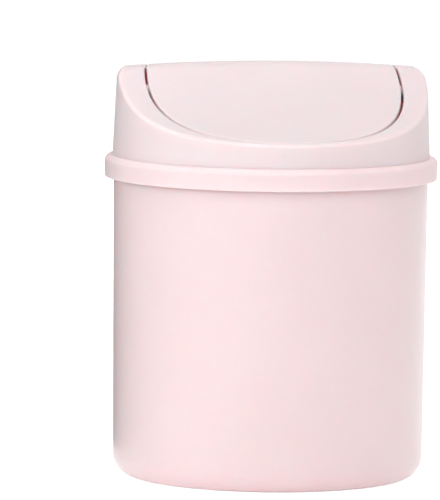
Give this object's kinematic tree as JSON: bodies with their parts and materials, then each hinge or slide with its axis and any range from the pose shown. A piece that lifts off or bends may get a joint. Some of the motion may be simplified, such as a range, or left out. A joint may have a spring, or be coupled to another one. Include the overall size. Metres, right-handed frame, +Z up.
{
  "type": "countertop trash can",
  "caption": "Round countertop trash can: tapered bucket, lift-off hood with a collar and a raised crest, and an oval flap that swings on side pins.",
  "frame": {"origin": "centre of the base, on the surface that the can stands on", "axes": "+Z up; -Y is the front; the flap's pivot axis runs along X"},
  "size_m": [0.13, 0.13, 0.162],
  "materials": {
    "bucket": "glossy moulded polypropylene, pale pink",
    "hood": "satin moulded polypropylene, pale pink",
    "flap": "satin moulded polypropylene, pale pink"
  },
  "bodies": {
    "bucket": {"bin_bucket": "bucket"},
    "hood": {"lid_hood": "hood"},
    "flap": {"swing_flap": "flap"}
  },
  "joints": [
    {"name": "lid_lift", "type": "slide", "parent": "bucket", "child": "hood", "axis": [0, 0, 1], "range_m": [0, 0.06]},
    {"name": "flap_swing", "type": "hinge", "parent": "hood", "child": "flap", "pos_m": [0, -0.00395, 0.15085], "axis": [1, 0, 0], "range_deg": [-90, 90]}
  ]
}
